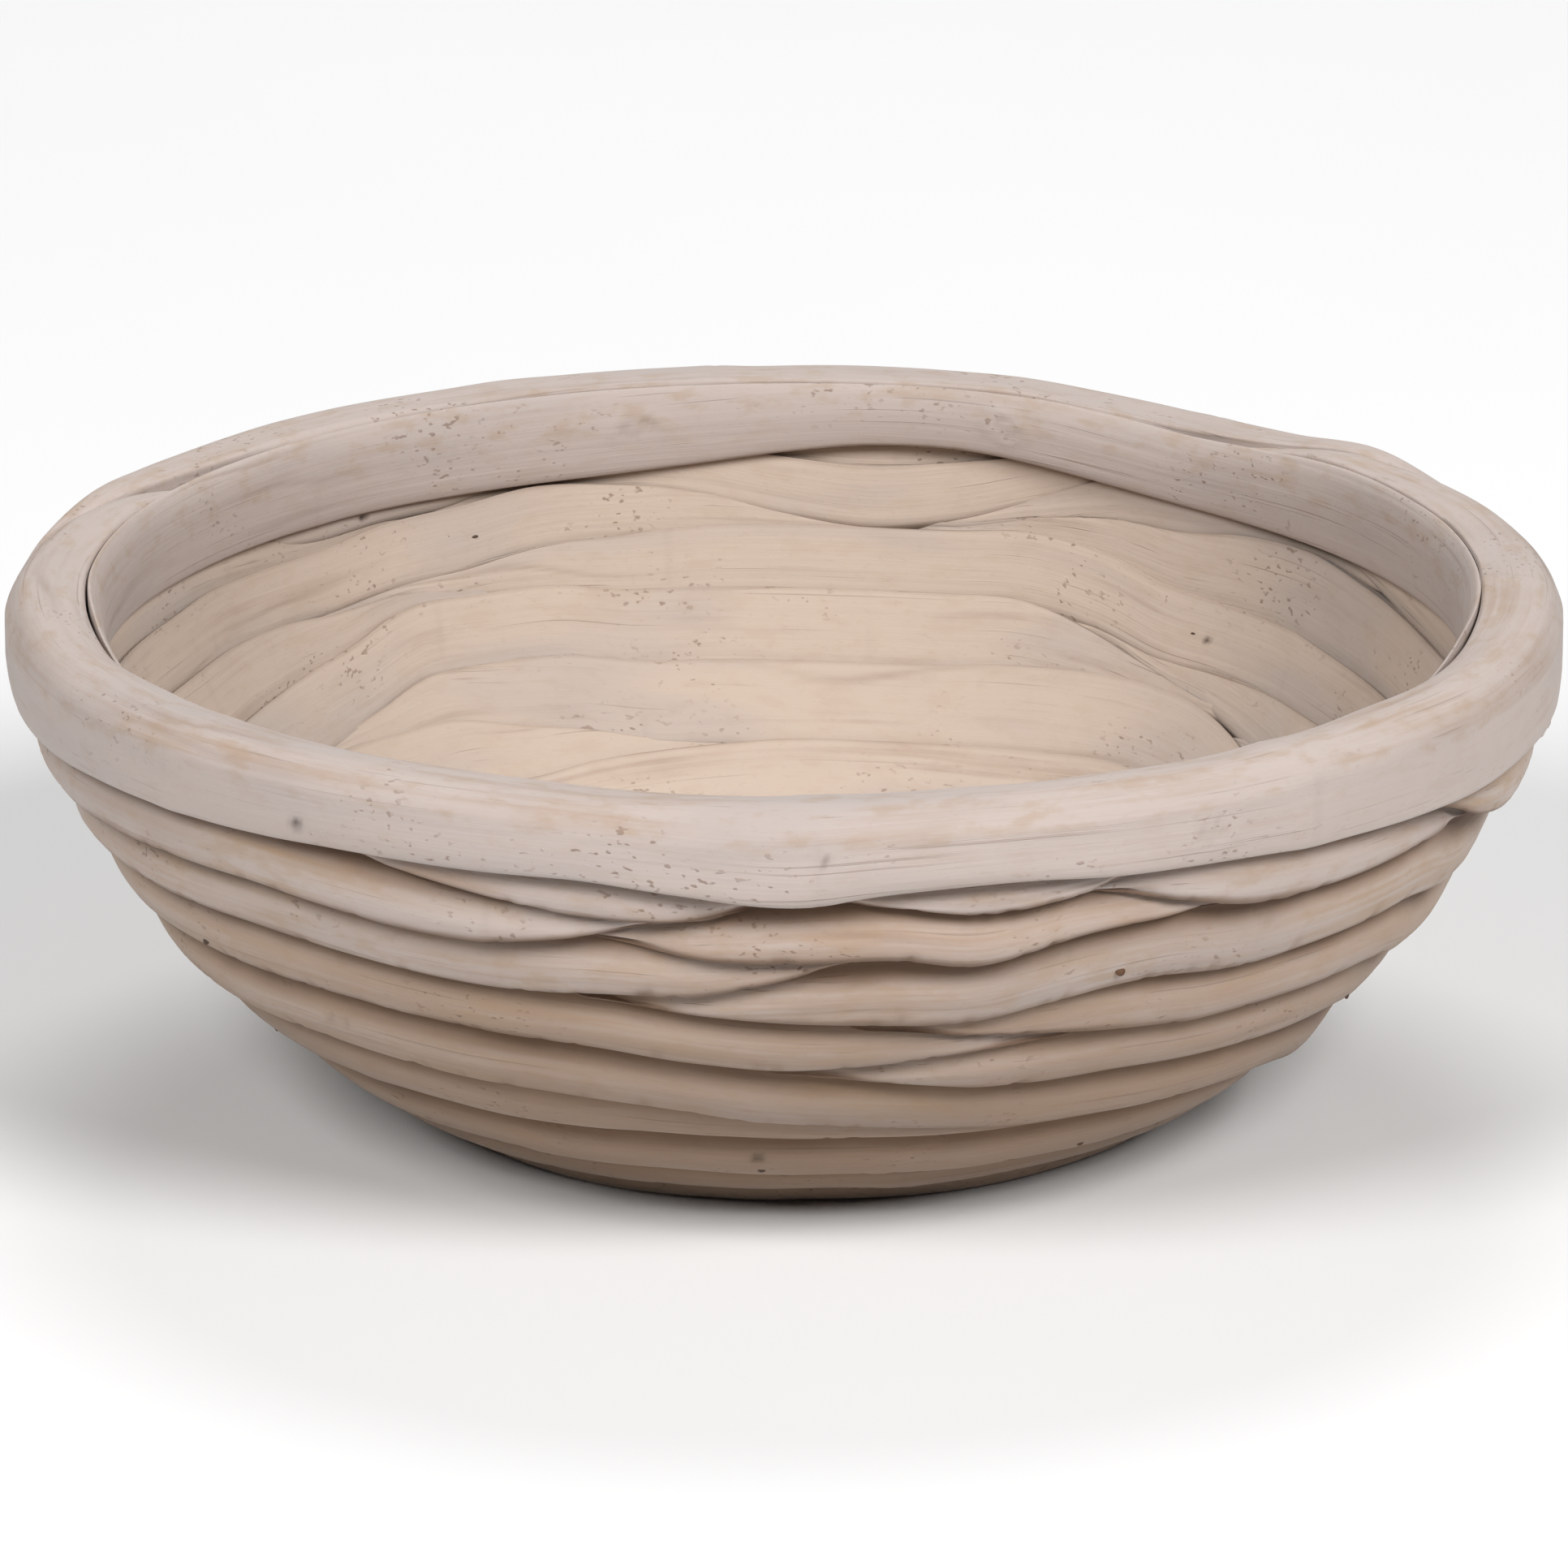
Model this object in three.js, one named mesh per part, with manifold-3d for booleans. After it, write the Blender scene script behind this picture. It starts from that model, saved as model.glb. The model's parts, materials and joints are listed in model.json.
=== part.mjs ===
// Banneton basket: a round proving bowl laid up from thick tapered canes, pinned with wire brads.
// Millimetres, +Z up. The bowl stands on Z = 0, and angle 0 is its front, towards -Y.
import * as THREE from 'three';
import { mergeVertices } from 'three/addons/utils/BufferGeometryUtils.js';
import Module from 'manifold-3d';

// Driving dimensions
const RIM_RADIUS = 125;
const HEIGHT = 85;
const FOOT_RADIUS = 61.5;
const WALL_THICKNESS = 10;
const WALL_TOP_RADIUS = 122.5;
const WALL_TOP_HEIGHT = 75;
const GAP = 0.3;

// How far the foot stands to the right of the rim's centre, and the height where that ends
const LEAN = 2.2;
const LEAN_HEIGHT = 70;

// How a wall cane sits on the one below it
const LIP_SLANT = 0.5;
const TIP_WIDTH = 1.3;
const TIP_THICKNESS_SHARE = 0.72;
const ANGLE_STEP = 7.5;

// Rim
const RIM_FRONT_INNER_RADIUS = 109.5;
const RIM_BACK_INNER_RADIUS = 108.5;
const RIM_HANG = 6;
const RIM_HANG_ANGLE = 80;
const RIM_DIP = 3.4;
const RIM_DIP_ANGLE = -1;
const RIM_DIP_SPREAD = 9;
const RIM_SAG = 2.4;
const RIM_SAG_ANGLE = 141.5;
const RIM_SAG_SPREAD = 12.6;
const RIM_INNER_DROP = 0.6;
const RIM_TIP_DROP = 5;
const RIM_TIP_THICKNESS = 1.6;

// Underside of the inner rim cane, which is raised along one stretch at the back
const INNER_RIM_UNDERSIDE = 69.8;
const INNER_RIM_RAISE = 5.2;
const INNER_RIM_RAISE_ANGLE = 168;
const INNER_RIM_RAISE_SPREAD = 18;

// Floor coil
const FLOOR_RADIUS = 58.9;
const FLOOR_THICKNESS = 9;
const FLOOR_TURNS = 6;
const FLOOR_EYE_RADIUS = 0.9;
const FLOOR_STEP = 15;

// Wire brads
const BRAD_RADIUS = 0.55;
const BRAD_HEAD_RADIUS = 0.95;
const BRAD_HEAD_THICKNESS = 0.6;
const BRAD_LENGTH = 10;
const BRAD_POINT = 1.6;
const BRAD_SIDES = 8;
const BRAD_SINK = 0.1;
const BRAD_HEAD_ROOM = 3;

// Which way each face looks, where in a cane's width a head sits on it, and how much of a brad's
// length goes into the wall from it
const BRAD_FACES = {
  outside: { side: 1, share: 0.42, inward: 0.6 },
  inside: { side: -1, share: 0.42, inward: 0.5 },
};

const FULL_TURN = 360;
const PROFILE_DIVISIONS = 400;
const MERGE_DISTANCE = 1e-4;

// The outside of the wall from the foot to under the rim, as radius and height.
const wallProfile = new THREE.SplineCurve([
  new THREE.Vector2(FOOT_RADIUS, 0),
  new THREE.Vector2(72, 6),
  new THREE.Vector2(81, 12),
  new THREE.Vector2(90, 20),
  new THREE.Vector2(100, 30),
  new THREE.Vector2(108, 40),
  new THREE.Vector2(114.3, 50),
  new THREE.Vector2(119, 60),
  new THREE.Vector2(121.7, 68.5),
  new THREE.Vector2(WALL_TOP_RADIUS, WALL_TOP_HEIGHT),
]);
wallProfile.arcLengthDivisions = PROFILE_DIVISIONS;
const WALL_LENGTH = wallProfile.getLength();

function cane(name, start, end, width, startTaper, endTaper, proud = 0) {
  return { name, start, end, width, startTaper, endTaper, proud };
}

// Wall canes from the foot up: name, start angle, end angle, width, the two tapers in degrees,
// and how far the cane stands out from the wall's own line where it does.
// Where two canes share an angle, the later one lies above the earlier one.
const WALL_CANES = [
  ['foot_cane_right', -105, 135, 9.5, 30, 30],
  ['foot_cane_left', 112.5, 277.5, 9.5, 30, 30],
  ['base_cane_right', -90, 165, 9.8, 30, 30],
  ['base_cane_left', 142.5, 292.5, 9.8, 30, 30],
  ['wall_cane_01', -127.5, 75, 15, 37.5, 30],
  ['wall_cane_02', 67.5, 262.5, 14, 30, 37.5],
  ['wall_cane_03', 187.5, 397.5, 15, 37.5, 75],
  ['wall_cane_04', 105, 240, 14, 30, 37.5, 0.5],
  ['wall_cane_05', -120, 127.5, 14, 37.5, 37.5, 0.5],
  ['wall_cane_06', 135, 270, 13, 30, 37.5],
  ['wall_cane_07', 0, 150, 12.5, 22.5, 37.5],
  ['wall_cane_08', 210, 382.5, 12, 30, 22.5],
  ['wall_cane_09', 7.5, 225, 11, 22.5, 37.5],
  ['wall_cane_10', -15, 165, 13.8, 22.5, 37.5, -0.4],
  ['wall_cane_11', 172.5, 367.5, 11, 30, 22.5, -0.3],
  ['wall_cane_12', -15, 37.5, 10, 15, 22.5, 0.4],
  ['wall_cane_13', 217.5, 352.5, 10.5, 30, 22.5, 0.8],
  ['wall_cane_14', 120, 165, 9, 22.5, 22.5],
  ['wall_cane_15', 142.5, 210, 9.5, 22.5, 22.5],
  ['wall_cane_16', 195, 240, 9, 15, 15],
  ['wall_cane_17', 22.5, 67.5, 11, 15, 22.5],
  ['wall_cane_18', 52.5, 142.5, 12, 22.5, 37.5, 1.4],
  ['wall_cane_19', 150, 195, 8.5, 22.5, 22.5],
  ['wall_cane_20', -37.5, 0, 8, 22.5, 11],
  ['wall_cane_21', 0, 30, 7, 15, 15],
].map((row) => cane(...row));

// Rim canes from the inside out, in the same form.
const RIM_CANES = [
  ['rim_cane_inner', 60, 292.5, 3.2, 30, 30],
  ['rim_cane_front', -127.5, 142.5, 13, 30, 30],
  ['rim_cane_back', 112.5, 262.5, 13, 30, 30],
].map((row) => cane(...row));

// Floor canes along one flat coil, in the same form, with angles that count on from turn to turn.
const FLOOR_CANES = [
  ['floor_cane_inner', 45, 900, 11, 60, 60],
  ['floor_cane_middle', 840, 1500, 11, 60, 60],
  ['floor_cane_outer', 1440, 2115, 11, 60, 60],
].map((row) => cane(...row));

// Sections of the canes, as shares of width and thickness, going round from the lower lip.
const WALL_SECTION = [
  [0, 0.06], [0.06, 0.4], [0.3, 0.52], [0.7, 0.48], [1, 0.06],
  [0.99, -0.42], [0.84, -0.5], [0.16, -0.5], [0.01, -0.4],
];
// The rim on its own, and where the inner rim cane backs it and lies flush with it.
const RIM_SECTION = [
  [0.1, 0.05], [0.55, 0], [0.88, 0.02], [0.98, 0.5], [1, 0.78],
  [0.72, 1], [0.35, 0.97], [0.08, 0.78], [0, 0.4],
];
const RIM_BACKED_SECTION = [
  [0.03, 0.05], [0.55, 0], [0.88, 0.02], [0.98, 0.5], [1, 0.78],
  [0.72, 1], [0.2, 0.99], [0, 0.96], [0, 0.8],
];
const RIM_INNER_SECTION = [
  [0.85, 0], [1, 0.02], [1, 0.88], [1, 1], [0.7, 0.95],
  [0.3, 0.8], [0.05, 0.52], [0.15, 0.24], [0.5, 0.05],
];
const FLOOR_SECTION = [
  [0.18, 0], [0.82, 0], [1, 0.2], [1, 0.72], [0.78, 0.97],
  [0.5, 1], [0.22, 0.97], [0, 0.72], [0, 0.2],
];

// Brads by the cane that each is driven into first, the angle, and the face that its head is on.
const BRADS = [
  ['wall_cane_01', -3.75, 'outside'],
  ['wall_cane_01', 33.75, 'outside'],
  ['wall_cane_02', 123.75, 'outside'],
  ['wall_cane_03', -63.75, 'outside'],
  ['wall_cane_04', 168.75, 'outside'],
  ['wall_cane_05', 48.75, 'outside'],
  ['wall_cane_06', 198.75, 'outside'],
  ['wall_cane_07', 63.75, 'outside'],
  ['wall_cane_08', 303.75, 'outside'],
  ['wall_cane_09', 138.75, 'inside'],
  ['wall_cane_10', 26.25, 'outside'],
  ['wall_cane_10', 101.25, 'outside'],
  ['wall_cane_11', 208.7, 'inside'],
  ['wall_cane_11', 211.3, 'inside'],
  ['wall_cane_13', 273.75, 'outside'],
  ['wall_cane_18', 86.25, 'outside'],
].map(([strandName, angle, face]) => ({ strandName, angle, face }));

const CANE_COLORS = [0xc4b1a4, 0xbda697, 0xcbbab0, 0xb9a394, 0xc7b3a0, 0xbfada6];
const BRAD_COLOR = 0x4a3f38;

const radians = THREE.MathUtils.degToRad;
const wasm = await Module();
wasm.setup();

function smooth(share) {
  return THREE.MathUtils.smoothstep(share, 0, 1);
}

// The angle as one inside the cane's sweep, or null when the cane isn't there.
function angleInside(strand, angle, shifts = [-FULL_TURN, 0, FULL_TURN]) {
  const shift = shifts.find((each) => angle + each >= strand.start && angle + each <= strand.end);
  return shift === undefined ? null : angle + shift;
}

// 1 along the body of a cane, falling to 0 at its two tips.
function fullness(strand, angle) {
  const rise = smooth((angle - strand.start) / strand.startTaper);
  const fall = smooth((strand.end - angle) / strand.endTaper);
  return Math.min(rise, fall);
}

// Shares the length of a lane, from one side to the other, among the canes present at an angle.
function shareLane(strands, angle, laneStart, laneEnd, shifts) {
  const present = [];
  let total = 0;
  for (const strand of strands) {
    const inside = angleInside(strand, angle, shifts);
    if (inside !== null) {
      const full = fullness(strand, inside);
      const width = TIP_WIDTH + (strand.width - TIP_WIDTH) * full;
      present.push({ strand, full, width });
      total += width;
    }
  }
  const scale = (laneEnd - laneStart) / total;
  let edge = laneStart;
  for (const entry of present) {
    entry.low = edge;
    edge += entry.width * scale;
    entry.high = edge;
  }
  return present;
}

// An angle from -180 to 180 measured from another.
function angleFrom(origin, angle) {
  return THREE.MathUtils.euclideanModulo(angle - origin + FULL_TURN / 2, FULL_TURN) - FULL_TURN / 2;
}

// A bell that is 1 at an angle and falls off to both sides of it.
function bell(angle, middle, spread) {
  return Math.exp(-((angleFrom(middle, angle) / spread) ** 2));
}

// How far the rim's underside hangs below its highest place: lowest on the two sides of the bowl, and in one
// short dip at the front.
function rimHang(angle) {
  const sides = (RIM_HANG / 2) * (1 + Math.cos(radians(2 * (angle - RIM_HANG_ANGLE))));
  return sides + RIM_DIP * bell(angle, RIM_DIP_ANGLE, RIM_DIP_SPREAD);
}

function wallTop(angle) {
  return WALL_LENGTH - rimHang(angle);
}

function wallStack(angle) {
  return shareLane(WALL_CANES, angle, 0, wallTop(angle));
}

// Radius and height of a place in the wall: along it from the foot, and out from its middle.
function wallPlace(along, out) {
  const inRange = THREE.MathUtils.clamp(along, 0, WALL_LENGTH);
  const point = wallProfile.getPointAt(inRange / WALL_LENGTH);
  const tangent = wallProfile.getTangentAt(inRange / WALL_LENGTH);
  const past = along - inRange;
  const inward = WALL_THICKNESS / 2 - out;
  return new THREE.Vector2(
    point.x + tangent.x * past - tangent.y * inward,
    Math.max(0, point.y + tangent.y * past + tangent.x * inward),
  );
}

// A radius and height turned to an angle. The bowl leans a little to its right towards the foot.
function turned(place, angle) {
  const lean = LEAN * Math.max(0, 1 - place.y / LEAN_HEIGHT);
  return new THREE.Vector3(
    place.x * Math.sin(radians(angle)) + lean,
    -place.x * Math.cos(radians(angle)),
    place.y,
  );
}

// A closed cane skinned over its sections: the cylinder's rows become the sections in turn.
function caneGeometry(sections) {
  const sides = sections[0].length;
  const rows = sections.length - 1;
  const geometry = new THREE.CylinderGeometry(1, 1, 1, sides, rows);
  const places = geometry.attributes.position;
  const centres = sections.map((section) => (
    section.reduce((sum, point) => sum.add(point), new THREE.Vector3()).divideScalar(sides)
  ));
  const corner = new THREE.Vector3();
  for (let i = 0; i < places.count; i += 1) {
    corner.fromBufferAttribute(places, i);
    const row = Math.round((0.5 - corner.y) * rows);
    const turn = Math.atan2(corner.x, corner.z) / (2 * Math.PI);
    const side = (Math.round(turn * sides) + sides) % sides;
    const onAxis = Math.hypot(corner.x, corner.z) < 0.5;
    const target = onAxis ? centres[row] : sections[row][side];
    places.setXYZ(i, target.x, target.y, target.z);
  }
  geometry.deleteAttribute('normal');
  geometry.deleteAttribute('uv');
  return mergeVertices(geometry, MERGE_DISTANCE);
}

function anglesOf(strand, step) {
  const angles = [];
  for (let angle = strand.start; angle <= strand.end; angle += step) {
    angles.push(angle);
  }
  return angles;
}

function wallCane(strand) {
  const sections = anglesOf(strand, ANGLE_STEP).map((angle) => {
    const { low, high, full } = wallStack(angle).find((entry) => entry.strand === strand);
    const thickness = WALL_THICKNESS * THREE.MathUtils.lerp(TIP_THICKNESS_SHARE, 1, full);
    return WALL_SECTION.map(([across, through]) => {
      const out = through * thickness + Math.max(0, 2 * through) * strand.proud * full;
      const along = low + GAP / 2 + across * (high - low - GAP) - LIP_SLANT * out;
      return turned(wallPlace(along, out), angle);
    });
  });
  return caneGeometry(sections);
}

// Height of the rim's underside at a radius, on the same slant as the lips below it.
function rimUnderside(angle, radius) {
  const top = wallTop(angle);
  const out = radius - wallPlace(top, 0).x;
  const outInWall = Math.max(out, -WALL_THICKNESS / 2);
  return wallPlace(top - LIP_SLANT * outInWall, out).y + 2 * GAP;
}

function innerRimUnderside(angle) {
  const raised = bell(angle, INNER_RIM_RAISE_ANGLE, INNER_RIM_RAISE_SPREAD);
  return INNER_RIM_UNDERSIDE + INNER_RIM_RAISE * raised;
}

// How fully the inner rim cane backs the rim at an angle.
function rimBacking(angle) {
  const inside = angleInside(RIM_CANES[0], angle);
  return inside === null ? 0 : fullness(RIM_CANES[0], inside);
}

function rimInnerRadius(angle) {
  return THREE.MathUtils.lerp(RIM_FRONT_INNER_RADIUS, RIM_BACK_INNER_RADIUS, rimBacking(angle));
}

// The outline of a rim cane at an angle.
function rimOutline(strand, angle) {
  if (strand === RIM_CANES[0]) {
    return RIM_INNER_SECTION;
  }
  const backing = rimBacking(angle);
  return RIM_SECTION.map(([across, up], index) => [
    THREE.MathUtils.lerp(across, RIM_BACKED_SECTION[index][0], backing),
    THREE.MathUtils.lerp(up, RIM_BACKED_SECTION[index][1], backing),
  ]);
}

function rimCane(strand) {
  const isInner = strand === RIM_CANES[0];
  const sections = anglesOf(strand, ANGLE_STEP).map((angle) => {
    const lane = shareLane(RIM_CANES, angle, rimInnerRadius(angle), RIM_RADIUS);
    const { low, high, full } = lane.find((entry) => entry.strand === strand);
    const thinning = (1 - full) ** 3;
    const sag = RIM_SAG * bell(angle, RIM_SAG_ANGLE, RIM_SAG_SPREAD);
    const lowered = Math.max(sag, RIM_TIP_DROP * thinning);
    const top = HEIGHT - lowered - (isInner ? RIM_INNER_DROP : 0);
    const outerEdge = high === RIM_RADIUS ? high : high - GAP / 2;
    return rimOutline(strand, angle).map(([across, up]) => {
      const radius = THREE.MathUtils.lerp(low + GAP / 2, outerEdge, across);
      const underside = isInner ? innerRimUnderside(angle) : rimUnderside(angle, radius);
      const bottom = THREE.MathUtils.lerp(underside, top - RIM_TIP_THICKNESS, thinning);
      return turned(new THREE.Vector2(radius, THREE.MathUtils.lerp(bottom, top, up)), angle);
    });
  });
  return caneGeometry(sections);
}

// One floor cane along the coil, whose first and last turns run to nothing against its neighbours.
function floorCane(strand) {
  const pitch = (FLOOR_RADIUS - FLOOR_EYE_RADIUS) / (FLOOR_TURNS - 1);
  const sections = anglesOf(strand, FLOOR_STEP).map((angle) => {
    const turns = angle / FULL_TURN;
    const inner = FLOOR_EYE_RADIUS + pitch * Math.max(0, turns - 1);
    const outer = Math.min(FLOOR_EYE_RADIUS + pitch * turns, FLOOR_RADIUS);
    const lane = shareLane(FLOOR_CANES, angle, inner, outer, [0]);
    const { low, high } = lane.find((entry) => entry.strand === strand);
    return FLOOR_SECTION.map(([across, up]) => {
      const radius = THREE.MathUtils.lerp(low + GAP / 2, high - GAP / 2, across);
      return turned(new THREE.Vector2(radius, up * FLOOR_THICKNESS), angle);
    });
  });
  return caneGeometry(sections);
}

// The turned outline of a brad, its head at y = 0 and its point along -y, grown by a clearance.
function bradGeometry(clearance, headRoom) {
  const shank = BRAD_RADIUS + clearance;
  const head = BRAD_HEAD_RADIUS + clearance;
  const headBottom = -BRAD_HEAD_THICKNESS - clearance;
  const tip = -BRAD_LENGTH - clearance;
  const outline = [
    new THREE.Vector2(0, tip),
    new THREE.Vector2(shank, tip + BRAD_POINT),
    new THREE.Vector2(shank, headBottom),
    new THREE.Vector2(head, headBottom),
    new THREE.Vector2(head, headRoom),
    new THREE.Vector2(0, headRoom),
  ];
  const geometry = new THREE.LatheGeometry(outline, BRAD_SIDES);
  geometry.deleteAttribute('normal');
  geometry.deleteAttribute('uv');
  return mergeVertices(geometry, MERGE_DISTANCE);
}

// Where a brad's head sits in its cane, and which way it is driven.
function bradPlace(brad) {
  const stack = wallStack(brad.angle);
  const index = stack.findIndex((entry) => entry.strand.name === brad.strandName);
  const { low, high } = stack[index];
  const { side, share, inward } = BRAD_FACES[brad.face];
  const out = side * (WALL_THICKNESS / 2 - BRAD_SINK);
  const along = THREE.MathUtils.lerp(low, high, share) - LIP_SLANT * out;
  const head = turned(wallPlace(along, out), brad.angle);
  const pointAlong = along - BRAD_LENGTH * Math.sqrt(1 - inward * inward);
  const pointOut = out - side * BRAD_LENGTH * inward;
  const direction = turned(wallPlace(pointAlong, pointOut), brad.angle).sub(head).normalize();
  return { head, direction, passes: [brad.strandName, stack[index - 1].strand.name] };
}

function place(object, head, direction) {
  object.position.copy(head);
  object.quaternion.setFromUnitVectors(new THREE.Vector3(0, -1, 0), direction);
  object.updateMatrixWorld(true);
}

function solidFrom(geometry) {
  const mesh = new wasm.Mesh({
    numProp: 3,
    vertProperties: Float32Array.from(geometry.attributes.position.array),
    triVerts: Uint32Array.from(geometry.index.array),
  });
  return new wasm.Manifold(mesh);
}

function geometryFrom(solid) {
  const { vertProperties, triVerts } = solid.getMesh();
  const geometry = new THREE.BufferGeometry();
  geometry.setAttribute('position', new THREE.BufferAttribute(vertProperties, 3));
  geometry.setIndex(new THREE.BufferAttribute(triVerts, 1));
  return geometry;
}

// Cuts the holes of every brad that passes through a cane.
function withBradHoles(name, geometry, places) {
  let solid = solidFrom(geometry);
  let cuts = 0;
  for (const spot of places.filter((entry) => entry.passes.includes(name))) {
    const tool = new THREE.Object3D();
    place(tool, spot.head, spot.direction);
    const hole = bradGeometry(GAP, BRAD_HEAD_ROOM).applyMatrix4(tool.matrixWorld);
    solid = solid.subtract(solidFrom(hole));
    cuts += 1;
  }
  return cuts ? geometryFrom(solid) : geometry;
}

function addMesh(group, name, geometry, material) {
  geometry.computeVertexNormals();
  const mesh = new THREE.Mesh(geometry, material);
  mesh.name = name;
  group.add(mesh);
  return mesh;
}

function caneMaterial(index) {
  return new THREE.MeshStandardMaterial({
    color: CANE_COLORS[index % CANE_COLORS.length],
    roughness: 0.85,
    metalness: 0,
    flatShading: true,
  });
}

const basket = new THREE.Group();
const bradPlaces = BRADS.map(bradPlace);

FLOOR_CANES.forEach((strand, index) => {
  addMesh(basket, strand.name, floorCane(strand), caneMaterial(index));
});
WALL_CANES.forEach((strand, index) => {
  const geometry = withBradHoles(strand.name, wallCane(strand), bradPlaces);
  addMesh(basket, strand.name, geometry, caneMaterial(index));
});
RIM_CANES.forEach((strand, index) => {
  addMesh(basket, strand.name, rimCane(strand), caneMaterial(index + 2));
});
bradPlaces.forEach((spot, index) => {
  const name = `wire_brad_${String(index + 1).padStart(2, '0')}`;
  const material = new THREE.MeshStandardMaterial({ color: BRAD_COLOR, roughness: 0.5, metalness: 0.9 });
  const mesh = addMesh(basket, name, bradGeometry(0, 0), material);
  place(mesh, spot.head, spot.direction);
});

export default basket;
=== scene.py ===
import json
import math

import bpy
import numpy as np
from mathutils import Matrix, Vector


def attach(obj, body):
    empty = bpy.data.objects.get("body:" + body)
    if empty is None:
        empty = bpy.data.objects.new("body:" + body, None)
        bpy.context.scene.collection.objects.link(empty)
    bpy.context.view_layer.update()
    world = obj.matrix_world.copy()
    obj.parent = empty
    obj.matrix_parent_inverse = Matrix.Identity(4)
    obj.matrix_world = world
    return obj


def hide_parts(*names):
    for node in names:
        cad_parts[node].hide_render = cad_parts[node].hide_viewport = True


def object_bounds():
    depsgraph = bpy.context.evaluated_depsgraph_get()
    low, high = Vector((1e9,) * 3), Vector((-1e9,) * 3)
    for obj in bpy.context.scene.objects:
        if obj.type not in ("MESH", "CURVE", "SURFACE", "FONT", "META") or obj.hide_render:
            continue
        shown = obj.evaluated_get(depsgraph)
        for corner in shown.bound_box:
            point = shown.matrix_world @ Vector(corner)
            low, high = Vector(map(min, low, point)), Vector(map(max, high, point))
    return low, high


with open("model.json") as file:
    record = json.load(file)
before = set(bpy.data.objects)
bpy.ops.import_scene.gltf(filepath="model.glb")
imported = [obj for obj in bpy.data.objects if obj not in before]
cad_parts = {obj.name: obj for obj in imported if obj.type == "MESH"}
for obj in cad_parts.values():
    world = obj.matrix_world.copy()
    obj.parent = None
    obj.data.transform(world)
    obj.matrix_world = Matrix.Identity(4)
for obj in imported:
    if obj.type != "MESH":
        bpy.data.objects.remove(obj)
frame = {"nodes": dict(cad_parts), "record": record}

MM = 0.001
CAD_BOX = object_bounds()
NODE_SLOT = {part["node"]: part["material_slot"] for part in frame["record"]["subparts"]}

# The camera: the place it looks at, how far away and how high above the horizontal it is, its lens and
# sensor in millimetres, and how far it sees
AIM = (0.0, 0.0, 49.2 * MM)
CAMERA_DISTANCE = 2.0
CAMERA_ELEVATION = math.radians(18)
CAMERA_LENS = 284.8
CAMERA_SENSOR = 36
CAMERA_REACH = 20

# The studio: how bright the world is, how pale and how wide the floor is, and each soft light's place,
# size, power and the place that it is aimed at
WORLD_STRENGTH = 0.05
FLOOR_TONE = 224
FLOOR_HALF = 3.0
LIGHTS = [
    ("left", (-1.48, -1.77, 1.93), 1.3, 64, (0, 0, 0.04)),
    ("right", (1.48, -1.77, 1.93), 1.3, 86, (0, 0, 0.04)),
    ("back", (0, 1.4, 1.8), 1.2, 24, (0, 0.8, 0)),
]

# The frame's sections: how many degrees apart they are, how many degrees a corner may be off its own
# section, how many corners each one has, how close together two corners count as one, and how far the
# middle of a section may be from the last one's
WALL_SECTION_STEP = 7.5
FLOOR_SECTION_STEP = 15.0
SECTION_TOLERANCE = 0.03
CORNERS = 9
SAME_CORNER = 0.01 * MM
NEXT_SECTION = 5.5 * MM

# How finely a cane is rebuilt, and how its two ends round off: in how many rows, and over which angle or
# which length, whichever is the shorter
STEP_ALONG = 0.9 * MM
FEWEST_ROWS = 12
POINTS_AROUND = 54
TIP_ROWS = 7
TIP_RUN = math.radians(4.6)
TIP_LENGTH = 8 * MM

# How square a wall cane is on its side towards the bowl, how square the rim's underside is and how far
# it settles onto the wall, how much calmer a wall cane's surface is towards the bowl, how far a cane's
# two edges close in on its neighbours, the half width from where a cane has its full relief, and the
# least half width that a section is measured by
INNER_SQUARENESS = 4
RIM_SQUARENESS = 2
RIM_SEAT = 0.9 * MM
INSIDE_CALM = 0.45
CLOSER = 0.11 * MM
FULL_HALF = 4 * MM
LEAST_HALF = 0.3 * MM

# The relief of bare wood: slow waves as length and height, and fibre ridges as length, how many there are
# round the cane, and height
WAVES = [(30 * MM, 0.26 * MM), (11 * MM, 0.1 * MM)]
RIDGES = [(22 * MM, 7, 0.2 * MM), (45 * MM, 19, 0.11 * MM), (28 * MM, 27, 0.06 * MM)]

# Where a cane's first growth ring may be and how far apart its rings may be, in millimetres, how much of
# its end is free of them, and how much cane there is for each split and each nick
FIRST_RING = (15, 90)
RING_GAP = (75, 150)
RING_FREE_END = 12 * MM
SPLIT_EVERY = 38 * MM
NICK_EVERY = 9 * MM

# A brad: how many sides it has, its turned outline from the middle of its head down to its shank's end,
# as radius and depth in millimetres, and its point's radius
BRAD_SIDES = 20
BRAD_OUTLINE = [
    (0.1, 0.2), (0.4, 0.22), (0.65, 0.3), (0.82, 0.42), (0.86, 0.52), (0.8, 0.6), (0.5, 0.66), (0.5, 8.4),
]
BRAD_POINT = 0.06

# The middle of the circle that the wall's curve nearly follows, as radius and height
WALL_CENTRE = np.array([25 * MM, 80 * MM])

# How far the foot stands to the right of the rim's centre, and the height where that ends
LEAN = 2.2 * MM
LEAN_HEIGHT = 70 * MM

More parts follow.
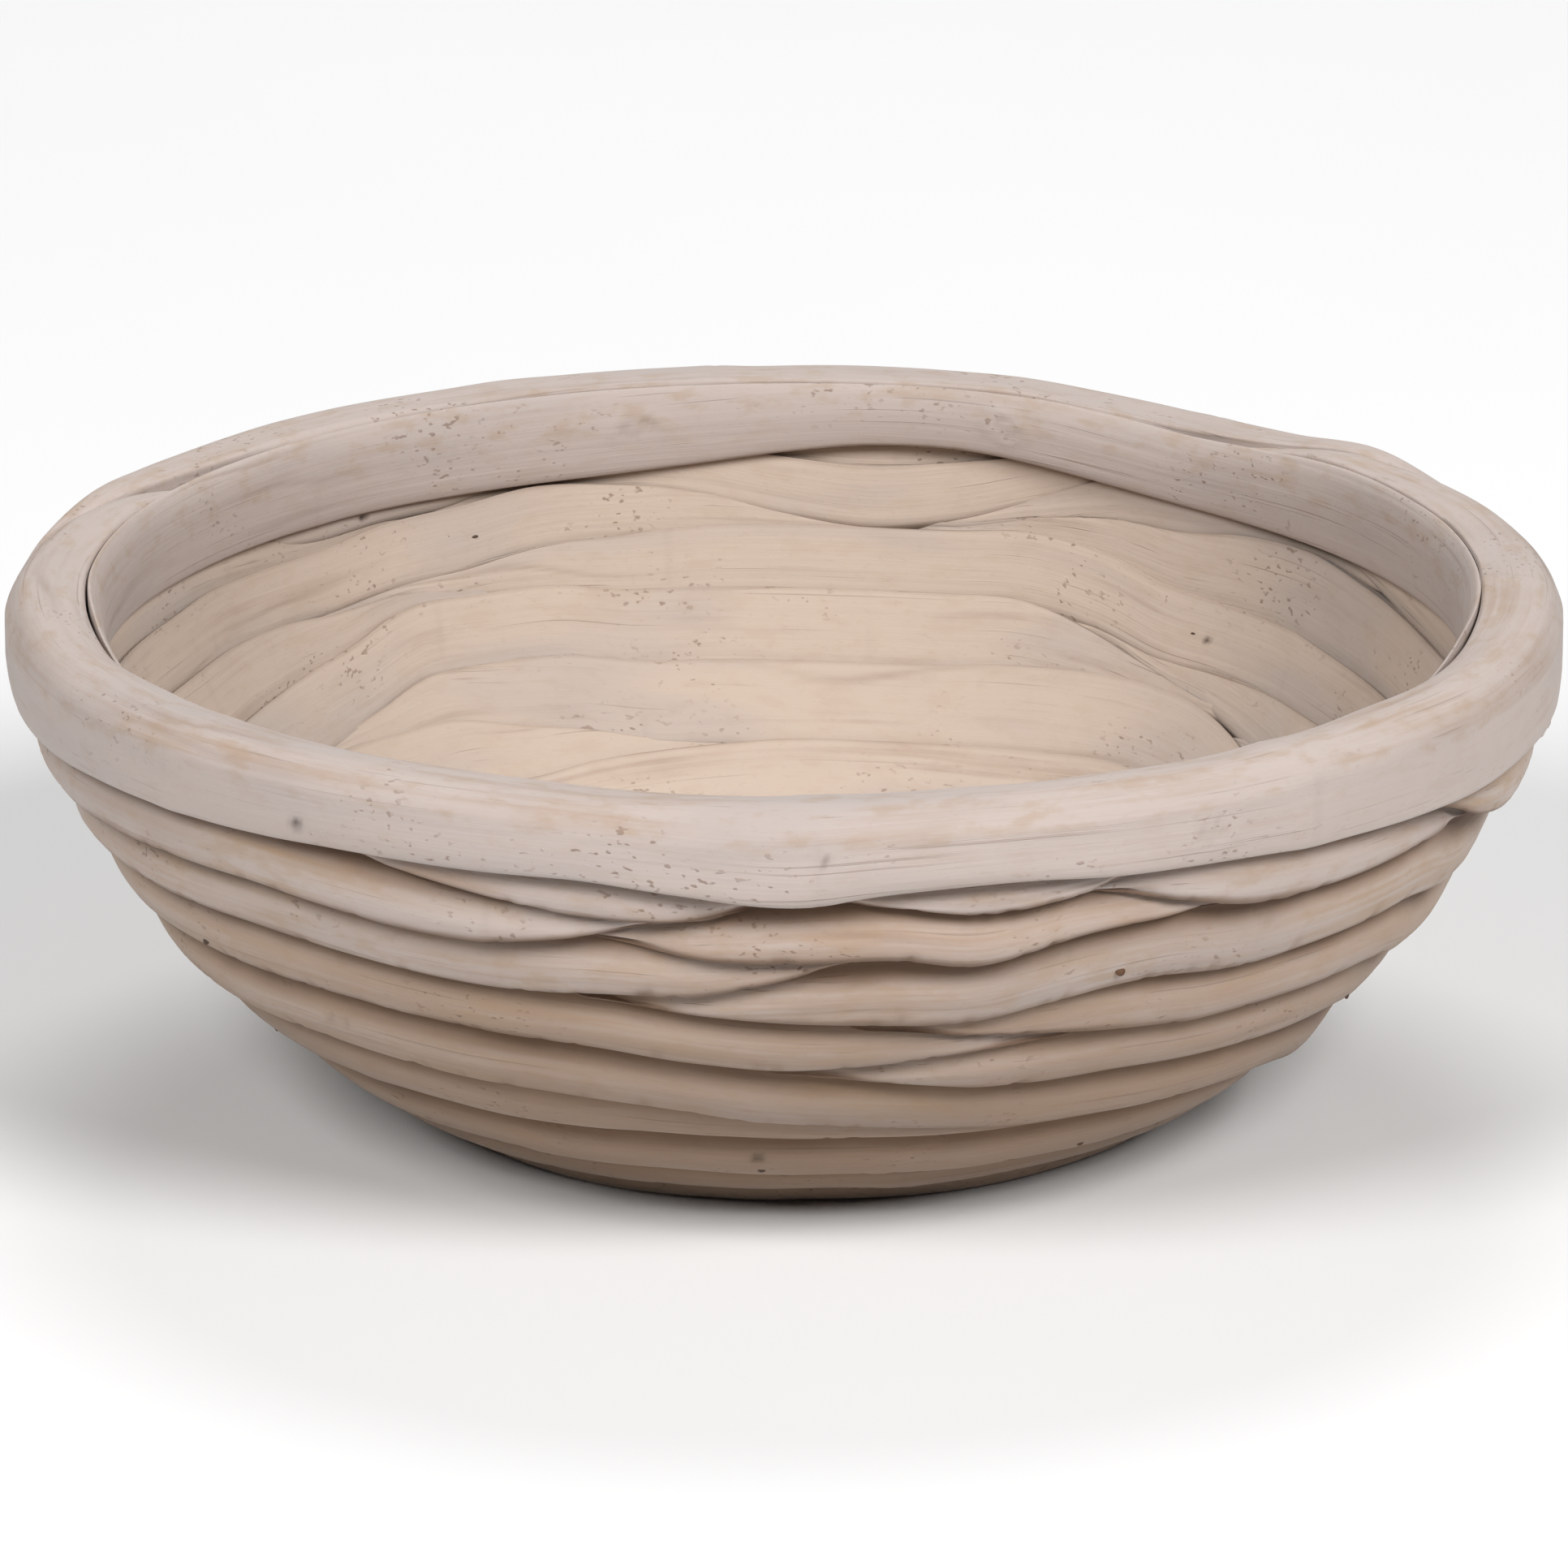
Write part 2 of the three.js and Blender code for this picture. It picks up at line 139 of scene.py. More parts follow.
# Leaf scars, knots and worm holes: angle in degrees, height in millimetres, the face they are on, radius
# in millimetres and kind
SCARS = [
    (31.6, 76, "outside", 3.4, "knot"),
    (39.5, 57, "outside", 3.2, "knot"),
    (39.0, 48, "outside", 0.9, "hole"),
    (-36.8, 75, "outside", 1.3, "hole"),
    (-4.0, 15, "outside", 1.2, "hole"),
    (2.9, 77, "outside", 0.8, "hole"),
    (77.0, 66, "outside", 3.0, "knot"),
    (205.0, 44, "outside", 3.2, "knot"),
    (262.0, 58, "outside", 2.8, "knot"),
    (318.0, 36, "outside", 2.6, "knot"),
    (137.0, 50, "inside", 0.8, "hole"),
    (193.0, 78, "inside", 3.2, "knot"),
    (160.0, 79, "inside", 3.0, "knot"),
    (219.2, 68, "inside", 1.0, "hole"),
    (20.0, 40, "inside", 2.8, "knot"),
]


# ---- Noise ---------------------------------------------------------------------------------------

def eased(share):
    """A share from 0 to 1 that starts and ends gently."""
    return share * share * (3 - 2 * share)


def smooth_noise(rng, length, period, places):
    """Smooth noise from -1 to 1 along a line, at the given places."""
    count = max(4, int(length / period) + 4)
    knots = rng.uniform(-1, 1, count)
    spot = np.clip(places / period, 0, count - 3.001) + 1
    base = spot.astype(int)
    share = eased(spot - base)
    return knots[base] * (1 - share) + knots[base + 1] * share


def fibre_noise(rng, rows, along_cells, around_cells):
    """Noise from -1 to 1 over a cane's rows and columns, closed around, with its own cells each way."""
    knots = rng.uniform(-1, 1, (along_cells + 2, around_cells))
    row = np.linspace(0, along_cells, rows)
    column = np.linspace(0, around_cells, POINTS_AROUND, endpoint=False)
    row_base = row.astype(int)
    column_base = column.astype(int)
    row_share = eased(row - row_base)[:, None]
    column_share = eased(column - column_base)[None, :]
    next_column = (column_base + 1) % around_cells

    def across(line):
        return line[:, column_base] * (1 - column_share) + line[:, next_column] * column_share

    return across(knots[row_base]) * (1 - row_share) + across(knots[row_base + 1]) * row_share


def bell(distance, width):
    return np.exp(-((distance / width) ** 2))


def lean_at(height):
    return LEAN * np.maximum(0, 1 - height / LEAN_HEIGHT)


# ---- Reading a cane's sections from the frame ----------------------------------------------------

def read_rings(node, step):
    """The cane's sections in order along it: angles in degrees, and corners as (radius, height)."""
    mesh = frame["nodes"][node].data
    places = np.zeros(len(mesh.vertices) * 3)
    mesh.vertices.foreach_get("co", places)
    places = np.unique(np.round(places.reshape(-1, 3), 7), axis=0)
    places[:, 0] -= lean_at(places[:, 2])
    angles = np.degrees(np.arctan2(places[:, 0], -places[:, 1])) % 360
    slots = np.round(angles / step).astype(int)
    on_ring = np.abs(angles - slots * step) < SECTION_TOLERANCE
    turn = int(360 / step)
    slots = slots % turn
    rings = []
    for slot in range(turn):
        chosen = places[on_ring & (slots == slot)]
        flat = np.column_stack([np.hypot(chosen[:, 0], chosen[:, 1]), chosen[:, 2]])
        flat = drop_doubles(flat[np.argsort(flat[:, 0])])
        for start in range(0, len(flat) - CORNERS + 1, CORNERS):
            rings.append((slot, ordered_around(flat[start:start + CORNERS])))
    return chain_rings(rings, step)


def drop_doubles(flat):
    """Keeps one of any corners that are in the same place."""
    kept = []
    for corner in flat:
        if all(np.hypot(*(corner - other)) > SAME_CORNER for other in kept):
            kept.append(corner)
    return np.array(kept).reshape(-1, 2)


def ordered_around(corners):
    centred = corners - corners.mean(axis=0)
    return corners[np.argsort(np.arctan2(centred[:, 1], centred[:, 0]))]


def chain_rings(rings, step):
    """Puts sections in order along the cane, and starts each one at the same corner."""
    turn = int(360 / step)
    centres = [corners.mean(axis=0) for _, corners in rings]

    def apart(index, other):
        return np.hypot(*(centres[other] - centres[index]))

    def following(index, way):
        slot = (rings[index][0] + way) % turn
        near = [other for other, (place, _) in enumerate(rings) if place == slot and other != index]
        near = [other for other in near if apart(index, other) < NEXT_SECTION]
        return min(near, key=lambda other: apart(index, other), default=None)

    first = next(index for index in range(len(rings)) if following(index, -1) is None)
    order = [first]
    while len(order) < len(rings) and following(order[-1], 1) is not None:
        order.append(following(order[-1], 1))
    corners = [rings[index][1] for index in order]
    widest = max(range(len(corners)), key=lambda index: np.ptp(corners[index], axis=0).sum())
    for index in range(widest + 1, len(corners)):
        corners[index] = matched(corners[index], corners[index - 1])
    for index in range(widest - 1, -1, -1):
        corners[index] = matched(corners[index], corners[index + 1])
    angles = (rings[first][0] + np.arange(len(order))) * step
    return angles, np.array(corners)


def matched(corners, neighbour):
    """The same corners, started where they best match the neighbouring section."""
    centred = corners - corners.mean(axis=0)
    target = neighbour - neighbour.mean(axis=0)
    shifts = [np.roll(centred, -shift, axis=0) for shift in range(CORNERS)]
    errors = [((shifted - target) ** 2).sum() for shifted in shifts]
    return np.roll(corners, -int(np.argmin(errors)), axis=0)


# ---- Rebuilding it finely ------------------------------------------------------------------------

def round_section(corners):
    """A smooth closed outline that touches the middle of each side: a uniform quadratic B-spline."""
    spot = np.linspace(0, CORNERS, POINTS_AROUND, endpoint=False)
    base = spot.astype(int)
    t = spot - base
    weights = [(1 - t) ** 2 / 2, (1 + 2 * t - 2 * t ** 2) / 2, t ** 2 / 2]
    total = 0
    for offset, weight in enumerate(weights):
        total = total + corners[:, (base + offset - 1) % CORNERS] * weight[None, :, None]
    return total


def along_rings(values, spots):
    """Catmull-Rom values between the sections, at fractional section numbers."""
    count = len(values)
    base = np.clip(spots.astype(int), 0, count - 2)
    t = (spots - base)[:, None, None]
    before = values[np.maximum(base - 1, 0)]
    here = values[base]
    there = values[base + 1]
    after = values[np.minimum(base + 2, count - 1)]
    return 0.5 * (
        2 * here + (there - before) * t + (2 * before - 5 * here + 4 * there - after) * t ** 2
        + (3 * here - before - 3 * there + after) * t ** 3
    )


def shrunk(section, size):
    """Copies of one section, shrunk about its middle to each of the given sizes."""
    middle = section.mean(axis=0)
    return middle + (section - middle) * size


def fine_cane(angles, corners):
    """Rows of a smooth cane: angle of each row in radians, and its outline as (radius, height)."""
    mean_radius = corners[:, :, 0].mean()
    length = math.radians(angles[-1] - angles[0]) * mean_radius
    rows = max(FEWEST_ROWS, int(length / STEP_ALONG))
    spots = np.linspace(0, len(angles) - 1, rows)
    outline = round_section(along_rings(corners, spots))
    turns = np.radians(angles[0]) + spots * math.radians(angles[1] - angles[0])
    shrink = np.linspace(0, 1, TIP_ROWS + 1)[1:]
    size = np.sqrt(np.clip(1 - shrink ** 2, 0.0004, 1))[:, None, None]
    head = shrunk(outline[0], size[::-1])
    tail = shrunk(outline[-1], size)
    run = min(TIP_RUN, TIP_LENGTH / mean_radius)
    outline = np.concatenate([head, outline, tail])
    turns = np.concatenate([turns[0] - run * shrink[::-1], turns, turns[-1] + run * shrink])
    return turns, outline


def outline_normals(outline):
    """Unit normals of each row's outline, as (radius, height), pointing out of the cane."""
    tangent = np.roll(outline, -1, axis=1) - np.roll(outline, 1, axis=1)
    normal = np.stack([tangent[..., 1], -tangent[..., 0]], axis=-1)
    return normal / np.maximum(np.linalg.norm(normal, axis=-1, keepdims=True), 1e-9)


def cane_axes(centres, family):
    """For each row, the way out of the cane's lane and the way across it, as (radius, height)."""
    if family == "wall":
        out = centres - WALL_CENTRE
        out = out / np.linalg.norm(out, axis=-1, keepdims=True)
        return out, np.stack([-out[:, 1], out[:, 0]], axis=-1)
    return np.tile([0.0, 1.0], (len(centres), 1)), np.tile([1.0, 0.0], (len(centres), 1))


def squared_off(out, squareness, seat=0.0):
    """Squares off the low side of a cane's section, and lets it reach a little further down."""
    depth = np.maximum((-out).max(axis=1, keepdims=True), 0.1 * MM)
    share = np.clip(-out / depth, 0, 1)
    reach = depth + seat * np.clip(depth / FULL_HALF, 0, 1)
    return np.where(out < 0, -reach * (1 - (1 - share) ** squareness), out)


# ---- Relief --------------------------------------------------------------------------------------
# Each of these gives relief in metres and darkness, where 1 is black, over a cane's rows and columns.

def blank(rows):
    return np.zeros((rows, POINTS_AROUND))


def wood_relief(rng, along):
    """Slow waves and fibre ridges over the whole cane: relief alone."""
    rows, length = len(along), along[-1]
    relief = blank(rows)
    for period, height in WAVES:
        relief += smooth_noise(rng, length, period, along)[:, None] * height
    for period, count, height in RIDGES:
        relief += fibre_noise(rng, rows, max(3, int(length / period)), count) * height
    return relief


def growth_rings(rng, along):
    """Low swellings with a fine broken line at their middle."""
    rows, length = len(along), along[-1]
    relief, dark = blank(rows), blank(rows)
    spot = rng.uniform(*FIRST_RING) * MM
    while spot < length - RING_FREE_END:
        wander = 1.4 * MM * fibre_noise(rng, rows, 3, 5)
        broken = np.clip(0.5 + 1.5 * fibre_noise(rng, rows, 3, 9), 0, 1)
        distance = along[:, None] + wander - spot
        line = bell(distance, 0.7 * MM) * broken
        relief += (0.18 * bell(distance, 4 * MM) - 0.1 * line) * MM
        dark = np.maximum(dark, 0.06 * line)
        spot += rng.uniform(*RING_GAP) * MM
    return relief, dark


def around_gap(lane):
    """How many columns each column is from a lane, the short way round."""
    column = np.arange(POINTS_AROUND)[None, :]
    return (column - lane + POINTS_AROUND / 2) % POINTS_AROUND - POINTS_AROUND / 2


def splits(rng, along):
    """Long fine splits anywhere round the cane."""
    rows, length = len(along), along[-1]
    relief, dark = blank(rows), blank(rows)
    for _ in range(max(2, int(length / SPLIT_EVERY))):
        middle = rng.uniform(0, length)
        reach = rng.uniform(6, 26) * MM
        lane = rng.uniform(0, POINTS_AROUND) + 2.2 * smooth_noise(rng, length, 20 * MM, along)[:, None]
        mark = bell(around_gap(lane), 0.75) * bell(along[:, None] - middle, reach)
        relief -= 0.24 * MM * mark
        dark = np.maximum(dark, 0.5 * mark)
    return relief, dark


def nicks(rng, along, lip):
    """Short nicks across the lower lip of a wall cane."""
    rows, length = len(along), along[-1]
    relief, dark = blank(rows), blank(rows)
    for _ in range(max(3, int(length / NICK_EVERY))):
        middle = rng.uniform(0, length)
        mark = bell(around_gap(lip + rng.uniform(-2, 2)), rng.uniform(1.2, 2.6))
        mark = mark * bell(along[:, None] - middle, rng.uniform(0.6, 1.0) * MM)
        relief -= 0.25 * MM * mark
        dark = np.maximum(dark, 0.5 * mark)
    return relief, dark


def knot(run, rise, size, angle):
    """A leaf scar or knot: an eye, a broken crease round it and a raised collar."""
    around = np.arctan2(rise, run)
    wobble = 1 + 0.14 * np.sin(2 * around + angle) + 0.1 * np.sin(5 * around)
    distance = np.hypot(run / 1.6, rise) * wobble
    broken = np.clip(0.5 + 0.8 * np.sin(2 * around + 2 * angle), 0, 1)
    eye = bell(distance, 0.3 * size)
    collar = bell(distance - 0.75 * size, 0.25 * size)
    crease = bell(distance - 0.42 * size, 0.13 * size) * broken
    return (0.22 * collar + 0.1 * eye - 0.2 * crease) * MM, 0.18 * crease + 0.08 * eye


def worm_hole(run, rise, size):
    # The pit is painted dark: painted shade for the depth of the hole
    pit = bell(np.hypot(run / 1.3, rise), 0.6 * size)
    return -pit * min(0.6 * MM, 0.5 * size), pit * 1.1


def scars(turns, outline, normals):
    """Leaf scars, knots and holes at their own places on the basket."""
    relief, dark = blank(len(turns)), blank(len(turns))
    for angle, height, face, size, kind in SCARS:
        turn = (turns - math.radians(angle) + math.pi) % (2 * math.pi) - math.pi
        run = turn[:, None] * outline[..., 0]
        rise = outline[..., 1] - height * MM
        side = 1 if face == "outside" else -1
        facing = np.clip(4 * side * normals[..., 0], 0, 1)
        if kind == "knot":
            mark, shade = knot(run, rise, size * MM, angle)
        else:
            mark, shade = worm_hole(run, rise, size * MM)
        relief += facing * mark
        dark = np.maximum(dark, facing * shade)
    return relief, dark


# ---- One cane ------------------------------------------------------------------------------------

def along_cane(turns, centres):
    """How far along the cane each row is."""
    steps = np.hypot(np.diff(turns) * centres[1:, 0], np.hypot(*np.diff(centres, axis=0).T))
    return np.concatenate([[0], np.cumsum(steps)])


def half_size(values):
    """Each row's greatest distance from the middle, as a column."""
    return np.maximum(np.abs(values).max(axis=1), LEAST_HALF)[:, None]


def placed(turns, outline):
    """Points in the basket's own space, kept inside the CAD box."""
    high = CAD_BOX[1]
    radius = np.minimum(outline[..., 0], high[0])
    height = np.clip(outline[..., 1], 0, high[2])
    right = radius * np.sin(turns)[:, None] + lean_at(height)
    return np.stack([right, -radius * np.cos(turns)[:, None], height], axis=-1)


def build_cane(node, family):
    rng = np.random.default_rng(sum(ord(letter) * (index + 3) for index, letter in enumerate(node)))
    step = FLOOR_SECTION_STEP if family == "floor" else WALL_SECTION_STEP
    turns, outline = fine_cane(*read_rings(node, step))
    centres = outline.mean(axis=1)

    # The section in the cane's own axes, closed up to its neighbours and squared off
    out_axis, across_axis = cane_axes(centres, family)
    local = outline - centres[:, None, :]
    out = (local * out_axis[:, None, :]).sum(axis=-1)
    across = (local * across_axis[:, None, :]).sum(axis=-1)
    half_across = half_size(across)
    across = across * (1 + CLOSER / half_across)
    if family == "wall":
        out = squared_off(out, INNER_SQUARENESS)
    elif family == "rim":
        out = squared_off(out, RIM_SQUARENESS, RIM_SEAT)
    half_out = half_size(out)
    outline = centres[:, None, :] + out[..., None] * out_axis[:, None, :]
    outline = outline + across[..., None] * across_axis[:, None, :]

    along = along_cane(turns, centres)
    normals = outline_normals(outline)
    ring_relief, ring_dark = growth_rings(rng, along)
    crack_relief, crack_dark = splits(rng, along)
    if family == "wall":
        lip = int(np.argmax((out / half_out - across / half_across)[len(turns) // 2]))
        nick_relief, nick_dark = nicks(rng, along, lip)
        crack_relief = crack_relief + nick_relief
        crack_dark = np.maximum(crack_dark, nick_dark)
    scar_relief, scar_dark = scars(turns, outline, normals)
    relief = wood_relief(rng, along) + ring_relief + crack_relief
    relief = relief * np.clip(half_across / FULL_HALF, 0, 1)
    if family == "wall":
        relief = relief * (1 - INSIDE_CALM * np.clip(-2 * out / half_out, 0, 1))
    relief = relief + scar_relief

    # What the materials read: the way along the grain, the place on the section, and the marks
    piece = skin(f"{node}_fine", placed(turns, outline + normals * relief[..., None]))
    grain = np.stack([np.broadcast_to(along[:, None], across.shape), across, out], axis=-1)
    form = np.stack([across / (half_across + CLOSER), out / half_out, relief / (0.5 * MM)], axis=-1)
    store(piece, "grain", grain + rng.uniform(0, 4, 3))
    store(piece, "form", form)
    tone = np.full_like(relief, rng.uniform(0, 1))
    store(piece, "marks", np.stack([np.maximum(ring_dark, scar_dark), crack_dark, tone], axis=-1))
    return piece


def skin(name, places):
    """A closed mesh over rows of points, with a point at each end."""
    rows, around, _ = places.shape
    flat = places.reshape(-1, 3)
    ends = np.array([places[0].mean(axis=0), places[-1].mean(axis=0)])
    first_end = len(flat)
    last_end = len(flat) + 1
    final = (rows - 1) * around
    faces = []
    for start in range(0, final, around):
        for column in range(around):
            after = (column + 1) % around
            faces.append((start + column, start + after, start + around + after, start + around + column))
    for column in range(around):
        after = (column + 1) % around
        faces.append((after, column, first_end))
        faces.append((final + column, final + after, last_end))
    mesh = bpy.data.meshes.new(name)
    mesh.from_pydata(np.concatenate([flat, ends]).tolist(), [], faces)
    mesh.shade_smooth()
    return linked(name, mesh)


def linked(name, data):
    """A new object in the scene with the given mesh, light or camera."""
    thing = bpy.data.objects.new(name, data)
    bpy.context.scene.collection.objects.link(thing)
    return thing


def store(piece, name, values):
    """Keeps a vector for each point of a cane; its two end points take the mean of their rows."""
    flat = np.concatenate([values.reshape(-1, 3), [values[0].mean(axis=0), values[-1].mean(axis=0)]])
    attribute = piece.data.attributes.new(name, "FLOAT_VECTOR", "POINT")
    attribute.data.foreach_set("vector", flat.astype(np.float32).ravel())


# ---- Materials -----------------------------------------------------------------------------------

class Nodes:
    """Short ways to add and join shader nodes in one material."""

    def __init__(self, name):
        self.material = bpy.data.materials.new(name)
        self.material.use_nodes = True
        self.tree = self.material.node_tree
        self.shader = self.tree.nodes["Principled BSDF"]

    def add(self, kind, inputs=None, **settings):
        node = self.tree.nodes.new(kind)
        for key, value in settings.items():
            setattr(node, key, value)
        for key, value in (inputs or {}).items():
            self.feed(node.inputs[key], value)
        return node

    def feed(self, socket, value):
        if isinstance(value, bpy.types.NodeSocket):
            self.tree.links.new(value, socket)
        else:
            socket.default_value = value

    def surface(self, **inputs):
        """Feeds the shader's own inputs, which are named with _ for each space."""
        for name, value in inputs.items():
            self.feed(self.shader.inputs[name.replace("_", " ")], value)

    def math(self, operation, a, b=0.0, clamp=False):
        return self.add("ShaderNodeMath", {0: a, 1: b}, operation=operation, use_clamp=clamp).outputs[0]

    def times(self, a, b):
        return self.math("MULTIPLY", a, b)

    def total(self, *terms):
        """The sum of (value, weight) pairs."""
        weighted = [self.times(value, weight) for value, weight in terms]
        result = weighted[0]
        for term in weighted[1:]:
            result = self.math("ADD", result, term)
        return result

    def ramp(self, value, low, high, start=0.0, end=1.0):
        inputs = {"Value": value, "From Min": low, "From Max": high, "To Min": start, "To Max": end}
        return self.add("ShaderNodeMapRange", inputs, interpolation_type="SMOOTHSTEP").outputs[0]

    def mix(self, share, a, b):
        node = self.add("ShaderNodeMix", data_type="RGBA")
        self.feed(node.inputs[0], share)
        self.feed(node.inputs[6], a)
        self.feed(node.inputs[7], b)
        return node.outputs[2]

    def attribute(self, name):
        return self.add("ShaderNodeAttribute", attribute_name=name).outputs["Vector"]

    def place(self):
        return self.add("ShaderNodeTexCoord").outputs["Object"]

    def split(self, vector):
        node = self.add("ShaderNodeSeparateXYZ", {0: vector})
        return node.outputs[0], node.outputs[1], node.outputs[2]

    def noise(self, vector, scale=1.0, detail=3.0):
        inputs = {"Vector": vector, "Scale": scale, "Detail": detail, "Roughness": 0.55}
        return self.add("ShaderNodeTexNoise", inputs).outputs["Fac"]

    def grain_noise(self, grain, along, across, detail):
        """Noise with one scale along the fibres and another one across them."""
        inputs = {0: grain, 1: (along, across, across)}
        stretched = self.add("ShaderNodeVectorMath", inputs, operation="MULTIPLY").outputs[0]
        return self.noise(stretched, detail=detail)

    def bump(self, strength, distance, height):
        inputs = {"Strength": strength, "Distance": distance, "Height": height}
        return self.add("ShaderNodeBump", inputs).outputs["Normal"]


def srgb(red, green, blue):
    """A colour given in display values from 0 to 255, as the shader's linear one."""
    def linear(value):
        value = value / 255
        return value / 12.92 if value <= 0.04045 else ((value + 0.055) / 1.055) ** 2.4
    return (linear(red), linear(green), linear(blue), 1.0)


LIME = srgb(173, 160, 153)
WARM_LIME = srgb(181, 164, 150)
COOL = srgb(160, 151, 148)
CANE = srgb(158, 137, 122)
TAN = srgb(155, 129, 102)
BROWN = srgb(102, 74, 52)
DARK = srgb(50, 36, 26)
WIRE = srgb(78, 64, 54)
RUST = srgb(106, 76, 54)


def cane_material(name, paint, foot_darkening, groove_shade):
    """Whitewashed cane: how much paint it has, how much it darkens towards the foot from worn paint and
    painted shade, and how much painted shade darkens its grooves.
    """
    n = Nodes(name)
    grain = n.attribute("grain")
    across, out, relief = n.split(n.attribute("form"))
    dark, crack, tone = n.split(n.attribute("marks"))
    height = n.split(n.place())[2]
    outside = n.ramp(out, -0.25, 0.25)

    fibres = n.grain_noise(grain, 28, 900, detail=4)
    streaks = n.grain_noise(grain, 9, 300, detail=3)
    patches = n.grain_noise(grain, 38, 70, detail=4)
    stains = n.grain_noise(grain, 14, 36, detail=2)

    # Paint sits on the raised fibres and wears through in streaks and patches; it is given more cover
    # inside, which makes the inside lighter
    # Towards the foot, outside, the cane gets less paint and turns browner: partly worn paint, partly
    # painted shade for the dimmer light low down
    low_down = n.times(n.ramp(height, 74 * MM, 6 * MM), outside)
    foot_wear_and_shade = n.times(low_down, foot_darkening)
    cover = n.total(
        (streaks, 0.75), (patches, 0.75), (fibres, 0.5), (relief, 0.06), (tone, 0.1), (outside, -0.2),
        (foot_wear_and_shade, -0.35),
    )
    lime = n.ramp(cover, 0.92 - paint, 1.4 - paint)
    bare = n.mix(n.times(n.ramp(stains, 0.5, 0.72), outside), CANE, TAN)
    limed = n.mix(outside, WARM_LIME, LIME) if groove_shade else LIME
    colour = n.mix(lime, bare, limed)
    cool = n.ramp(n.grain_noise(grain, 17, 55, detail=2), 0.48, 0.68)
    colour = n.mix(n.times(cool, 0.4), colour, COOL)
    mottle = n.ramp(n.grain_noise(grain, 150, 330, detail=3), 0.48, 0.7)
    colour = n.mix(n.times(mottle, n.ramp(outside, 0, 1, 0.12, 0.35)), colour, TAN)
    # Painted shade and wear: the outside turns tan and then brown towards the foot
    colour = n.mix(n.times(foot_wear_and_shade, 0.6), colour, TAN)
    colour = n.mix(n.math("POWER", foot_wear_and_shade, 1.8), colour, BROWN)

    # The upper part of a lapped cane lies back under the next one; the grooves between canes are painted
    # darker there, as painted shade
    if groove_shade:
        ragged = n.math("ADD", across, n.times(n.math("SUBTRACT", patches, 0.5), 0.4))
        # Tan on the sheltered upper part: partly stain, partly painted shade under the lip above
        sheltered = n.times(n.ramp(ragged, -0.5, 0.3), outside)
        colour = n.mix(n.times(sheltered, 0.25), colour, TAN)
        # Brown in the grooves above and below each cane: painted shade
        upper = n.times(n.ramp(ragged, 0.0, 0.5), outside)
        lower = n.times(n.ramp(ragged, -0.6, -0.95), outside)
        colour = n.mix(n.times(n.math("MAXIMUM", upper, lower), groove_shade), colour, BROWN)
        # Brown at the cane's edges, where it meets its neighbours: painted shade
        edges = n.ramp(n.math("ABSOLUTE", across), 0.9, 1.0)
        colour = n.mix(n.times(edges, 0.2), colour, BROWN)

    # Thin brown fibres, specks in clusters, growth rings, cracks and scars, with worm holes darkened as
    # painted shade
    thin = n.ramp(n.grain_noise(grain, 16, 1500, detail=2), 0.64, 0.76)
    colour = n.mix(n.times(thin, 0.25), colour, BROWN)
    cluster = n.ramp(n.grain_noise(grain, 34, 52, detail=2), 0.52, 0.66)
    specks = n.ramp(n.grain_noise(grain, 620, 1050, detail=1), 0.62, 0.72)
    specks = n.times(specks, n.math("ADD", n.times(cluster, 0.5), 0.04))
    colour = n.mix(specks, colour, BROWN)
    colour = n.mix(n.times(crack, 0.5), colour, BROWN)
    colour = n.mix(n.math("MULTIPLY", dark, 0.9, clamp=True), colour, DARK)

    rough = n.math("ADD", n.ramp(lime, 0, 1, 0.68, 0.86), n.times(fibres, 0.1))
    grooves = n.total((fibres, 0.9), (thin, -0.6), (patches, 0.7), (specks, -1.2))
    n.surface(
        Base_Color=colour, Roughness=rough, Specular_IOR_Level=0.25, Sheen_Weight=0.1,
        Sheen_Roughness=0.6, Normal=n.bump(0.5, 0.3 * MM, grooves),
    )
    return n.material


def wire_material(name):
    n = Nodes(name)
    rust = n.noise(n.place(), scale=1400)
    colour = n.mix(n.ramp(rust, 0.42, 0.62), WIRE, RUST)
    rough = n.ramp(rust, 0.3, 0.7, 0.45, 0.85)
    n.surface(Base_Color=colour, Roughness=rough, Metallic=0.6, Normal=n.bump(0.4, 0.05 * MM, rust))
    return n.material


def floor_material(name):
    n = Nodes(name)
    tones = [srgb(tone, tone, tone) for tone in (FLOOR_TONE - 2, FLOOR_TONE + 2)]
    colour = n.mix(n.noise(n.place(), scale=3), *tones)
    n.surface(Base_Color=colour, Roughness=0.9, Specular_IOR_Level=0.1)
    return n.material


# ---- Brads ---------------------------------------------------------------------------------------

def brad_axis(node):
    """The middle of a brad's head and the middle of its point, in metres."""
    mesh = frame["nodes"][node].data
    places = np.array([vertex.co[:] for vertex in mesh.vertices])
    middle = places.mean(axis=0)
    axis = np.linalg.svd(places - middle)[2][0]
    depth = (places - middle) @ axis
    off_axis = np.linalg.norm(places - middle - depth[:, None] * axis, axis=1)
    if depth[np.argmax(off_axis)] < 0:
        axis, depth = -axis, -depth
    return middle + axis * depth.max(), middle + axis * depth.min()


def build_brad(node):
    """A wire brad turned about its axis: a low domed head, a slim shank and a point."""
    head, point = brad_axis(node)
    down = (point - head) / np.linalg.norm(point - head)
    side = np.cross(down, (0.3, 0.5, 0.8))
    side = side / np.linalg.norm(side)
    other = np.cross(down, side)
    turns = np.linspace(0, 2 * math.pi, BRAD_SIDES, endpoint=False)
    circle = np.cos(turns)[:, None] * side + np.sin(turns)[:, None] * other
    rows = [head + down * depth * MM + circle * radius * MM for radius, depth in BRAD_OUTLINE]
    rows.append(point + circle * BRAD_POINT * MM)
    return skin(f"{node}_fine", np.array(rows))


